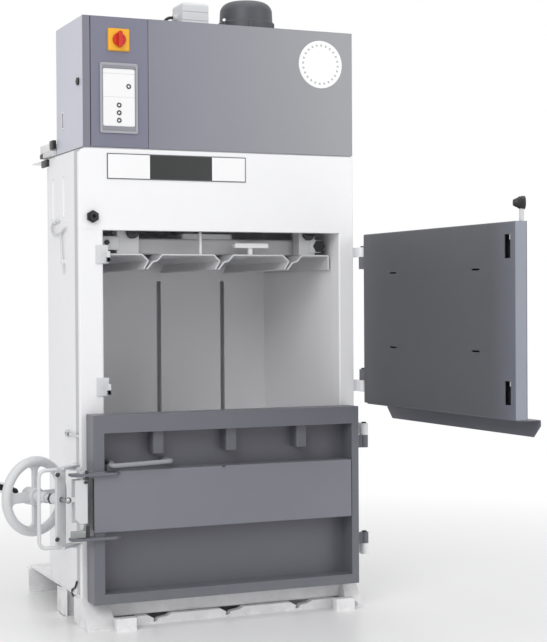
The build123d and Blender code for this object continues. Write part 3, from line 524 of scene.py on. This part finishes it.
def finishPiece(name, bm, paint, body, replaced=(), wall=None, sharp=sharpAngle):
    bmesh.ops.remove_doubles(bm, verts=bm.verts, dist=0.001)
    bmesh.ops.recalc_face_normals(bm, faces=bm.faces)
    bmesh.ops.scale(bm, vec=(mm, mm, mm), verts=bm.verts)
    mesh = bpy.data.meshes.new(name)
    bm.to_mesh(mesh)
    bm.free()
    if not wall:    # folded sheet stays flat shaded, so its cut rims keep their edges
        mesh.shade_smooth()
        mesh.set_sharp_from_angle(angle=sharp)
    mesh.materials.append(finish[paint])
    piece = bpy.data.objects.new(name, mesh)
    bpy.context.scene.collection.objects.link(piece)
    if wall:
        sheet = piece.modifiers.new("wall", "SOLIDIFY")
        sheet.thickness = wall * mm
        sheet.offset = 0.0
        sheet.use_even_offset = True
    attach(piece, body)
    if replaced:
        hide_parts(*replaced)


# platen: guide channels, pucks and pads

guideArms = {"spans": [(-336.0, -262.0), (306.0, 365.0)], "wall": 4.0, "inset": 1.0}


def makeGuideArms(s):    # folded channels, open to the rear
    low, high = (Vector(corner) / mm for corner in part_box("guide_arms"))
    bm = bmesh.new()
    for left, right in s["spans"]:
        newBlock(bm, (left, low.y, low.z), (right, low.y + s["wall"], high.z), 1.5)
        for side in (left, right - s["wall"]):
            newBlock(bm, (side, low.y + s["inset"], low.z), (side + s["wall"], high.y, high.z), 1.0)
    finishPiece("guideChannels", bm, "castSteel", "platen", ("guide_arms",), sharp=0.3)


guidePucks = {"radius": 20.5, "front": 63.0, "deep": 15.0, "dimple": (5, 6, 1.5), "soft": 2,
              "centres": [(-286.0, 1249.0), (338.5, 1250.0)]}


def makeGuidePucks(s):
    r, deep, soft = s["radius"], s["deep"], s["soft"]
    inner, outer, sunk = s["dimple"]
    bm = bmesh.new()
    for x, z in s["centres"]:
        newTurned(bm, [(0, sunk), (inner, sunk), (outer, 0), (r - soft, 0), (r, soft), (r, deep), (0, deep)],
                  (x, s["front"], z), (0, 1, 0))
    finishPiece("guidePucks", bm, "greasedSteel", "platen")


hexPads = {"front": 69.0, "deep": 7.0, "soft": 1.5, "centres": [(379.0, 1210.0, 22.0), (-371.0, 1216.0, 9.0)]}


def makeHexPads(s):
    deep, soft = s["deep"], s["soft"]
    bm = bmesh.new()
    for x, z, r in s["centres"]:
        newTurned(bm, [(0, 0), (r - soft, 0), (r, soft), (r, deep), (0, deep)], (x, s["front"], z), (0, 1, 0), 6)
    finishPiece("hexPads", bm, "blackPlastic", "platen", sharp=0.4)


padPlates = {"plates": [(345.0, 385.0, 1188.0, 1232.0), (-384.0, -330.0, 1192.0, 1236.0)], "y": (75.0, 80.0)}


def makePadPlates(s):
    front, back = s["y"]
    bm = bmesh.new()
    for left, right, low, high in s["plates"]:
        newBlock(bm, (left, front, low), (right, back, high), 1.2)
    finishPiece("padPlates", bm, "wheelPaint", "platen")


makeGuideArms(guideArms)
makeGuidePucks(guidePucks)
makeHexPads(hexPads)
makePadPlates(padPlates)


# latch rod of the upper door with its black knob, drawn on the closed door and swung open with it

latchRod = {"hinge": (497.5, -20.0), "open": 91.3, "line": (-420.0, -35.5), "radius": 7.0, "low": 716.0,
            "high": 1284.0, "slots": (759.0, 1176.0), "knobZ": 1298.0, "knobAxis": (0.42, 0.9075, 0.0),
            "neck": {"down": 16.0, "radius": 9.5, "long": 12.0},
            "fingers": [((0.0, -4.0, 36.0), (28.0, 4.0, 44.0)), ((18.0, -4.0, 36.0), (28.0, 23.0, 44.0)),
                        ((18.0, 18.0, 19.0), (28.0, 23.0, 44.0))]}
knobProfile = [(0, -10), (17.5, -10), (19, -8.5), (19, 1), (17.5, 2), (17.5, 4), (18.5, 5), (14.2, 12),
               (13.4, 12.6), (13.4, 13.6), (9.6, 22), (8, 24), (0, 24)]
hingePlace = Matrix.Translation((*latchRod["hinge"], 0.0))
swing = hingePlace @ Matrix.Rotation(math.radians(latchRod["open"]), 4, "Z") @ hingePlace.inverted()


def makeLatchRod(s):
    x, y = s["line"]
    bm = bmesh.new()
    newPin(bm, (x, y, s["low"]), (0, 0, 1), s["radius"], s["high"] - s["low"], 1.5)
    for z in s["slots"]:
        for low, high in s["fingers"]:
            newBlock(bm, shifted((x, y, z), low), shifted((x, y, z), high), 1.0)
    bmesh.ops.transform(bm, matrix=swing, verts=bm.verts)
    finishPiece("latchRodBar", bm, "wheelPaint", "latch_rod", ("latch_rod",))
    bm = bmesh.new()
    newTurned(bm, knobProfile, (x, y, s["knobZ"]), s["knobAxis"], 40)
    newPin(bm, (x, y, s["knobZ"] - s["neck"]["down"]), (0, 0, 1), s["neck"]["radius"], s["neck"]["long"])
    bmesh.ops.transform(bm, matrix=swing, verts=bm.verts)
    finishPiece("latchKnob", bm, "blackPlastic", "latch_rod", ("rod_cone",), sharp=0.5)


makeLatchRod(latchRod)


# upper door, drawn shut and swung open as each piece is finished

def finishDoorPiece(name, bm, paint, replaced=(), wall=None, sharp=sharpAngle):
    bmesh.ops.transform(bm, matrix=swing, verts=bm.verts)
    finishPiece(name, bm, paint, "upper_door", replaced, wall, sharp)


def cutPlane(bm, place, normal, clear=False):
    bmesh.ops.bisect_plane(bm, geom=bm.verts[:] + bm.edges[:] + bm.faces[:], dist=0.0001, plane_co=place,
                           plane_no=normal, clear_outer=clear)


upperPanel = {"low": (-430.0, -43.5, 684.5), "high": (470.5, -9.0, 1244.5), "wall": 3.0, "fold": 3.0,
              "windows": [(-405.0, -375.0, 725.0, 793.0), (-405.0, -375.0, 1142.0, 1210.0),
                          (-242.0, -202.0, 871.0, 876.0), (-242.0, -202.0, 1111.0, 1116.0),
                          (250.0, 290.0, 871.0, 876.0), (250.0, 290.0, 1111.0, 1116.0)],
              "notch": (-430.0, -410.0, -27.0)}


def makeUpperPanel(s):    # a folded tray with slots and slits, open towards the skin
    bm = bmesh.new()
    newBlock(bm, s["low"], s["high"])
    bmesh.ops.delete(bm, geom=[f for f in bm.faces if f.normal.y < -0.9], context="FACES")
    soften(bm, [e for e in bm.edges if len(e.link_faces) == 2], s["fold"], 3)
    for x in {edge for window in s["windows"] for edge in window[:2]} | set(s["notch"][:2]):
        cutPlane(bm, (x, 0, 0), (1, 0, 0))
    for z in {edge for window in s["windows"] for edge in window[2:]}:
        cutPlane(bm, (0, 0, z), (0, 0, 1))
    cutPlane(bm, (0, s["notch"][2], 0), (0, 1, 0))
    gone = []
    for face in bm.faces:
        x, y, z = face.calc_center_median()
        hole = face.normal.y > 0.9 and any(a < x < b and c < z < d for a, b, c, d in s["windows"])
        notch = face.normal.z > 0.9 and s["notch"][0] < x < s["notch"][1] and y < s["notch"][2]
        if hole or notch:
            gone.append(face)
    bmesh.ops.delete(bm, geom=gone, context="FACES")
    finishDoorPiece("upperDoorPanel", bm, "doorPaint", ("upper_door_tray",), s["wall"], 0.3)


upperSkin = {"y": (-46.0, -43.4), "over": 1.5, "soft": 0.8}


def makeUpperSkin(s, panel):
    (left, _, low), (right, _, high) = panel["low"], panel["high"]
    (out, back), over = s["y"], s["over"]
    bm = bmesh.new()
    newBlock(bm, (left - over, out, low - over), (right + over, back, high + over), s["soft"])
    finishDoorPiece("upperDoorSkin", bm, "ringPaint", ("upper_door_skin",), sharp=0.3)


upperKnuckles = {"spans": [(1131.0, 1171.5), (757.5, 794.0)], "bore": 6.05, "radius": 14.0,
                 "webY": (-28.0, -12.0), "webGap": 7.0, "soft": 0.8}


def makeUpperKnuckles(s, panel):
    x, y = latchRod["hinge"]
    (front, back), bore, r = s["webY"], s["bore"], s["radius"]
    bm = bmesh.new()
    for low, high in s["spans"]:
        long = high - low
        newTurned(bm, [(bore, 0), (r, 0), (r, long), (bore, long)], (x, y, low), (0, 0, 1), 32, True)
        newBlock(bm, (panel["high"][0], front, low), (x - s["webGap"], back, high), s["soft"])
    finishDoorPiece("upperDoorKnuckles", bm, "ringPaint")


upperLip = {"line": [(-20.0, 680.5), (-97.5, 680.5), (-97.5, 630.0)], "x": (-420.0, 470.0), "cut": 34.0,
            "fold": 4.0, "wall": 3.0}


def makeUpperLip(s):    # folded strip with cut corners
    left, right = s["x"]
    bm = bmesh.new()
    line = [bm.verts.new((left, y, z)) for y, z in s["line"]]
    raised = bmesh.ops.extrude_edge_only(bm, edges=[bm.edges.new(pair) for pair in zip(line, line[1:])])["geom"]
    bmesh.ops.translate(bm, vec=(right - left, 0, 0), verts=[g for g in raised if isinstance(g, bmesh.types.BMVert)])
    soften(bm, [e for e in bm.edges if len(e.link_faces) == 2], s["fold"], 4)
    low, cut = s["line"][-1][1], s["cut"]
    cutPlane(bm, (left + cut, 0, low), (-1, 0, -1), True)
    cutPlane(bm, (right - cut, 0, low), (1, 0, -1), True)
    finishDoorPiece("upperDoorLip", bm, "ringPaint", ("door_lip",), s["wall"], 0.3)


doorCatches = {"blocks": [((-403.0, -26.0, -26.0), (-391.0, 0.0, -10.0)),
                          ((-403.0, -26.0, -26.0), (-391.0, -20.0, 8.0)),
                          ((-431.0, -5.0, -30.0), (-391.0, 0.0, 28.0))]}


def makeDoorCatches(s):    # on the frame, where the latch rod's fingers lock
    bm = bmesh.new()
    for z in latchRod["slots"]:
        for low, high in s["blocks"]:
            newBlock(bm, shifted((0.0, 0.0, z), low), shifted((0.0, 0.0, z), high), 1.0)
    finishPiece("doorCatches", bm, "wheelPaint", "frame", ("latch_catches",), sharp=0.3)


makeUpperPanel(upperPanel)
makeUpperSkin(upperSkin, upperPanel)
makeUpperKnuckles(upperKnuckles, upperPanel)
makeUpperLip(upperLip)
makeDoorCatches(doorCatches)
print("upper door made")


# keypad

keypad = {"bandX": (-407.0, -297.0), "bandY": (-6.2, -2.6), "upperBand": (1760.5, 1771.5),
          "lowerBand": (1563.5, 1578.5), "keys": [(-320.0, 1705.5), (-352.0, 1645.5), (-352.0, 1621.5),
                                                  (-352.0, 1597.5)], "ring": (3.6, 7.7), "face": -5.4,
          "ringSoft": 0.4, "ringHigh": (0.5, 0.6, 0.4)}


def makeKeypad(s):
    bm = bmesh.new()
    for low, high in (s["upperBand"], s["lowerBand"]):
        newBlock(bm, (s["bandX"][0], s["bandY"][0], low), (s["bandX"][1], s["bandY"][1], high), 1.0)
    finishPiece("keypadBands", bm, "bandPlastic", "cabinet_door")
    inner, outer = s["ring"]
    rim, crest, bore = s["ringHigh"]
    for index, (x, z) in enumerate(s["keys"], 1):
        bm = bmesh.new()
        newTurned(bm, [(inner, 0), (outer, 0), (outer, rim), (inner + s["ringSoft"], crest), (inner, bore)],
                  (x, s["face"], z), (0, -1, 0), 32, True)
        finishPiece("keyRing_%d" % index, bm, "greasedSteel", "key_%d" % index)


makeKeypad(keypad)


# handwheel: cast rim, hub and four spokes that widen towards the rim

screwTip = Vector((-548.0, -80.0, 417.0))
lockLine = Vector((-0.406737, 0.913545, 0.0))
lockSide = Vector((0.913545, 0.406737, 0.0))
handwheel = {"middle": 163.0, "rim": 93.0, "rimLine": 110.5, "rimRound": 15.4, "hub": 28.0, "bore": 8.05,
             "hubEnds": (-15, 35), "hubSoft": 2, "sleeve": 17, "sleeveEnd": -62, "sleeveSoft": 1,
             "spokeHalf": (9.0, 16.0), "spokeThick": 12.0, "spokeSoft": 2.0, "spokeSunk": 4, "spokeOver": 10,
             "flare": 16.0, "earPlace": (199.0, -108.4, 35.2), "earApart": 12.3,
             "earBlock": ((-7.5, -3.0, -36.0), (7.5, 3.0, 8.0)), "earPinRadius": 4.0, "earPinLong": 33.0}


def onLock(along, side, up):    # a place on the lock's own axes, from the tip of its screw
    return screwTip + lockLine * along + lockSide * side + Vector((0.0, 0.0, up))


def addSpoke(bm, s, half, place):
    old = set(bm.verts)
    bmesh.ops.create_grid(bm, x_segments=14, y_segments=1, size=1.0)
    sheet = vertsSince(bm, old)
    for v in sheet:
        r = s["hub"] - s["spokeSunk"] + (v.co.x + 1) / 2 * (s["rim"] - s["hub"] + s["spokeOver"])
        past = max(0.0, r - (s["rim"] - s["flare"]))
        wide = half + s["flare"] - math.sqrt(max(0.0, s["flare"] ** 2 - past ** 2))
        v.co = (r, math.copysign(wide, v.co.y), -s["spokeThick"] / 2)
    faces = [f for f in bm.faces if f.verts[0] in sheet]
    raised = bmesh.ops.extrude_face_region(bm, geom=faces, use_keep_orig=True)["geom"]
    bmesh.ops.translate(bm, vec=(0, 0, s["spokeThick"]),
                        verts=[g for g in raised if isinstance(g, bmesh.types.BMVert)])
    made = vertsSince(bm, old)
    bmesh.ops.recalc_face_normals(bm, faces=list({f for v in made for f in v.link_faces}))
    soften(bm, [e for e in {e for v in made for e in v.link_edges} if len(e.link_faces) == 2
                and e.link_faces[0].normal.angle(e.link_faces[1].normal) > 1.0], s["spokeSoft"])
    bmesh.ops.transform(bm, matrix=place, verts=vertsSince(bm, old))


def addEars(bm, s):    # two ears and the pin that the fold-away grip turns on
    along, side, up = s["earPlace"]
    radial = (lockSide * side + Vector((0, 0, up))).normalized()
    across = lockLine.cross(radial)
    ear = Matrix((radial, across, lockLine)).transposed().to_4x4()
    for offset in (-s["earApart"], s["earApart"]):
        old = set(bm.verts)
        newBlock(bm, *s["earBlock"], 1.5)
        place = Matrix.Translation(onLock(along, side, up) + across * offset) @ ear
        bmesh.ops.transform(bm, matrix=place, verts=vertsSince(bm, old))
    start = onLock(along, side, up) - across * (s["earPinLong"] / 2)
    newPin(bm, start, across, s["earPinRadius"], s["earPinLong"])


def makeHandwheel(s):
    bm = bmesh.new()
    middle = onLock(s["middle"], 0, 0)
    reach, thick = s["rimLine"], s["rimRound"]
    ring = [(reach + thick * math.cos(math.radians(a)), thick * math.sin(math.radians(a))) for a in range(0, 360, 30)]
    newTurned(bm, ring, middle, lockLine, 64, True)
    bore, hub, soft = s["bore"], s["hub"], s["hubSoft"]
    back, front = s["hubEnds"]
    newTurned(bm, [(bore, back), (hub - soft, back), (hub, back + soft), (hub, front - soft), (hub - soft, front),
                   (bore, front)], middle, lockLine, 40, True)
    sleeve, tail, soft = s["sleeve"], s["sleeveEnd"], s["sleeveSoft"]
    newTurned(bm, [(bore, tail), (sleeve - soft, tail), (sleeve, tail + soft), (sleeve, back), (bore, back)],
              middle, lockLine, 32, True)
    turn = Matrix.Translation(middle) @ Matrix((lockSide, (0.0, 0.0, 1.0), lockLine)).transposed().to_4x4()
    for quarter in range(4):
        addSpoke(bm, s, s["spokeHalf"][1 - quarter % 2], turn @ Matrix.Rotation(math.pi / 2 * quarter, 4, "Z"))
    addEars(bm, s)
    finishPiece("handwheelCast", bm, "wheelPaint", "handwheel", ("handwheel",))


makeHandwheel(handwheel)
print("platen, keypad and wheel made")


# trim and fastenings, each a list of shapes: newBlock takes its low corner, high corner and softening,
# newPin its place, axis, radius, length, softening and sides, newTube its points, radius and corner

def makeTrim(pieces, body):
    for name, s in pieces.items():
        bm = bmesh.new()
        for shape, *values in s["shapes"]:
            shape(bm, *values)
        finishPiece(name, bm, s["paint"], body, sharp=s.get("sharp", sharpAngle))


def sideLine(x, line):    # a path that keeps its distance from the machine's side
    return [(x, y, z) for y, z in line]


# left side of the machine: strap hook, inlet bracket and the rod in the post's recess

sideTrim = {
    "strapHook": {"paint": "wheelPaint", "slot": "white_paint", "shapes": [
        (newTube, sideLine(-478.0, [(262, 1292), (326, 1292), (352, 1270), (322, 1249), (230, 1252), (178, 1268)]),
         4.0, 10.0),
        (newTube, sideLine(-478.0, [(236, 1250), (205, 1120)]), 4.0, 1.0)]},
    "strapHookClips": {"paint": "palePlastic", "slot": "light_plastic", "shapes": [
        (newBlock, (-482.0, 207.0, 1150.0), (-469.8, 231.0, 1164.0), 2.0),
        (newBlock, (-482.0, 300.0, 1285.0), (-469.8, 318.0, 1299.0), 2.0)]},
    "recessRod": {"paint": "wheelPaint", "slot": "white_paint", "shapes": [
        (newBlock, (-482.0, 14.0, 597.0), (-475.0, 187.0, 606.0), 1.5),
        (newBlock, (-482.0, 176.0, 590.0), (-469.6, 187.0, 613.0), 1.5)]},
    "recessBolt": {"paint": "greasedSteel", "slot": "steel", "shapes": [
        (newPin, (-475.5, 150.0, 601.5), (-1, 0, 0), 5.5, 8.5, 1.0, 6)]},
    "inletBracket": {"paint": "wheelPaint", "slot": "white_paint", "shapes": [
        (newBlock, (-484.0, 310.0, 1512.0), (-440.0, 430.0, 1528.0), 1.5)]},
    "inletHousing": {"paint": "palePlastic", "slot": "light_plastic", "shapes": [
        (newBlock, (-482.0, 350.0, 1528.0), (-444.0, 470.0, 1556.0), 3.0)]},
    "inletPlug": {"paint": "blackPlastic", "slot": "black_plastic", "shapes": [
        (newBlock, (-484.0, 303.0, 1535.0), (-471.0, 345.0, 1562.0), 2.0),
        (newBlock, (-484.0, 430.0, 1512.5), (-462.0, 470.0, 1528.0), 2.0),
        (newBlock, (-481.0, 395.0, 1482.0), (-469.8, 465.0, 1506.0), 3.0)]},
    "gripSlotFrame": {"paint": "palePlastic", "slot": "light_plastic", "shapes": [
        (newBlock, (-472.0, 213.0, 1589.0), (-468.5, 236.0, 1594.0), 1.0),
        (newBlock, (-472.0, 213.0, 1639.0), (-468.5, 236.0, 1644.0), 1.0),
        (newBlock, (-472.0, 213.0, 1594.0), (-468.5, 217.0, 1639.0), 1.0),
        (newBlock, (-472.0, 232.0, 1594.0), (-468.5, 236.0, 1639.0), 1.0)]},
}


# bolts and brackets of the lock and the lower door, with a dark plate of painted shade on the door's left face

lockTrim = {
    "lugBolts": {"paint": "greasedSteel", "slot": "steel", "shapes": [
        (newPin, (-576.0, -65.0, 496.0), (-0.4, -0.9, 0), 7.0, 12.0, 1.5, 6),
        (newTube, [(-576.0, -65.0, 496.0), (-570.0, -51.0, 496.0)], 5.0, 1.0),
        (newPin, (-577.0, -60.0, 297.0), (-0.4, -0.9, 0), 7.0, 12.0, 1.5, 6),
        (newTube, [(-577.0, -60.0, 297.0), (-571.0, -46.0, 297.0)], 5.0, 1.0)]},
    "screwNut": {"paint": "greasedSteel", "slot": "steel", "sharp": 0.4, "shapes": [
        (newTurned, [(13.4, 0), (18.0, 0), (18.0, 10), (13.4, 11)], onLock(70.5, 0, 0), lockLine, 6, True)]},
}
doorTrim = {
    "clawBracket": {"paint": "zincPlate", "slot": "steel", "shapes": [
        (newBlock, (-549.0, -108.0, 303.0), (-500.0, -104.2, 326.0), 1.0)]},
    "clawBoltsAndShadeStrip": {"paint": "greasedSteel", "slot": "steel", "shapes": [
        (newPin, (-497.0, -104.2, 504.0), (0, -1, 0), 6.5, 7.0, 1.2, 6),
        (newPin, (-497.0, -104.2, 484.5), (0, -1, 0), 6.5, 7.0, 1.2, 6),
        (newBlock, (-505.0, -112.0, 469.0), (-493.6, -104.2, 477.0), 1.2),
        (newBlock, (-500.0, -110.0, 304.0), (-489.0, -104.0, 340.0), 1.2),
        # a dark plate standing in for painted shade, on the door's left face between the claws
        (newBlock, (-471.0, -88.0, 320.0), (-469.1, -34.0, 480.0), 0.5)]},
    "handleMount": {"paint": "darkPaint", "slot": "grey_paint", "shapes": [
        (newBlock, (-429.0, -99.0, 496.0), (-399.0, -94.0, 526.0), 1.5),
        (newPin, (-41.0, -93.8, 501.0), (0, -1, 0), 5.0, 4.0, 1.0, 16)]},
}


# hinge caps, a black tube of painted shade at the foot of the recess, two pale bolts and the plate that closes the
# middle foot channel

frameTrim = {
    "hingeCaps": {"paint": "greasedSteel", "slot": "steel", "shapes": [
        (newPin, (*latchRod["hinge"], z), (0, 0, 1), 8.0, 4.0, 1.0) for z in (1204.5, 794.5, 612.5, 245.5)]},
    # a black bent tube standing in for painted shade, where a dark curved gap lies at the foot of the post's recess
    "recessShadeTube": {"paint": "blackPlastic", "slot": "black_plastic", "shapes": [
        (newTube, sideLine(-474.0, [(90, 134), (108, 112), (148, 98), (136, 80), (88, 82)]), 3.2, 6.0)]},
    "paleBolts": {"paint": "bareSteel", "slot": "steel", "shapes": [
        (newPin, (442.0, -59.9, 14.0), (0, -1, 0), 8.0, 6.0, 1.5, 6),
        (newPin, (48.0, 95.0, 1956.0), (-0.6, -0.8, 0), 6.0, 10.0, 1.5, 16)]},
    "footChannelEnd": {"paint": "whitePaint", "slot": "white_paint", "shapes": [
        (newBlock, (-482.0, 182.0, 3.0), (-479.0, 297.0, 87.0), 0.8)]},
}

makeTrim(sideTrim, "frame")
makeTrim(lockTrim, "lock_frame")
makeTrim(doorTrim, "lower_door")
makeTrim(frameTrim, "frame")
print("fittings made")


# floor, world and lamps

floorSettings = {"half": 14.0, "colour": (0.93, 0.93, 0.933, 1.0), "rough": 0.32, "specular": 0.3,
                 "near": 0.9, "far": 3.2}
lampSettings = [
    {"name": "keyBox", "place": (-4.2, -4.6, 4.2), "aim": (0.0, 0.0, 0.9), "size": 3.4, "power": 150.0},
    {"name": "fillBox", "place": (3.8, -5.0, 2.6), "aim": (0.0, 0.0, 0.9), "size": 3.0, "power": 55.0},
    {"name": "topBox", "place": (0.0, -0.6, 4.6), "aim": (0.0, 0.0, 0.8), "size": 3.6, "power": 46.0},
]
worldLevel = 0.55
white = (1.0, 1.0, 1.0, 1.0)


def addSeen(tree):    # rays that see the backdrop itself, and not only its light
    path = addNode(tree, "ShaderNodeLightPath")
    mirrored = addMath(tree, "MAXIMUM", path.outputs["Is Glossy Ray"], path.outputs["Is Transmission Ray"])
    return addMath(tree, "MAXIMUM", path.outputs["Is Camera Ray"], mirrored)


def makeFloor(s):
    mesh = bpy.data.meshes.new("studioFloor")
    bm = bmesh.new()
    bmesh.ops.create_grid(bm, x_segments=1, y_segments=1, size=s["half"])
    bm.to_mesh(mesh)
    bm.free()
    floor = bpy.data.objects.new("studioFloor", mesh)
    bpy.context.scene.collection.objects.link(floor)
    material, tree, shader = newMaterial("studioFloor")
    shader.inputs["Base Color"].default_value = s["colour"]
    shader.inputs["Roughness"].default_value = s["rough"]
    shader.inputs["Specular IOR Level"].default_value = s["specular"]
    place = addNode(tree, "ShaderNodeTexCoord").outputs["Object"]
    reach = addNode(tree, "ShaderNodeVectorMath", operation="LENGTH")
    tree.links.new(place, reach.inputs[0])
    seen = addSeen(tree)
    glow = addNode(tree, "ShaderNodeEmission")
    glow.inputs["Color"].default_value = white
    glow.inputs["Strength"].default_value = 1.0
    blend = addNode(tree, "ShaderNodeMixShader")    # the floor ends in the white background
    tree.links.new(addMath(tree, "MULTIPLY", seen, addRange(tree, reach.outputs["Value"], s["near"], s["far"])),
                   blend.inputs[0])
    tree.links.new(shader.outputs[0], blend.inputs[1])
    tree.links.new(glow.outputs[0], blend.inputs[2])
    tree.links.new(blend.outputs[0], tree.nodes["Material Output"].inputs["Surface"])
    mesh.materials.append(material)


def makeWorld(level):
    world = bpy.data.worlds.new("studio")
    world.use_nodes = True
    bpy.context.scene.world = world
    tree = world.node_tree
    back = tree.nodes["Background"]
    seen = addNode(tree, "ShaderNodeBackground")
    for node, strength in ((seen, 1.0), (back, level)):
        node.inputs["Color"].default_value = white
        node.inputs["Strength"].default_value = strength
    direct = addSeen(tree)
    mix = addNode(tree, "ShaderNodeMixShader")
    tree.links.new(direct, mix.inputs[0])
    tree.links.new(back.outputs[0], mix.inputs[1])
    tree.links.new(seen.outputs[0], mix.inputs[2])
    tree.links.new(mix.outputs[0], tree.nodes["World Output"].inputs["Surface"])


def makeLamp(s):
    data = bpy.data.lights.new(s["name"], "AREA")
    data.shape = "SQUARE"
    data.size = s["size"]
    data.energy = s["power"]
    lamp = bpy.data.objects.new(s["name"], data)
    lamp.location = s["place"]
    lamp.rotation_euler = (Vector(s["aim"]) - Vector(s["place"])).to_track_quat("-Z", "Y").to_euler()
    bpy.context.scene.collection.objects.link(lamp)


makeFloor(floorSettings)
makeWorld(worldLevel)
for lamp in lampSettings:
    makeLamp(lamp)
bpy.context.scene.view_settings.view_transform = "Standard"
print("studio set")
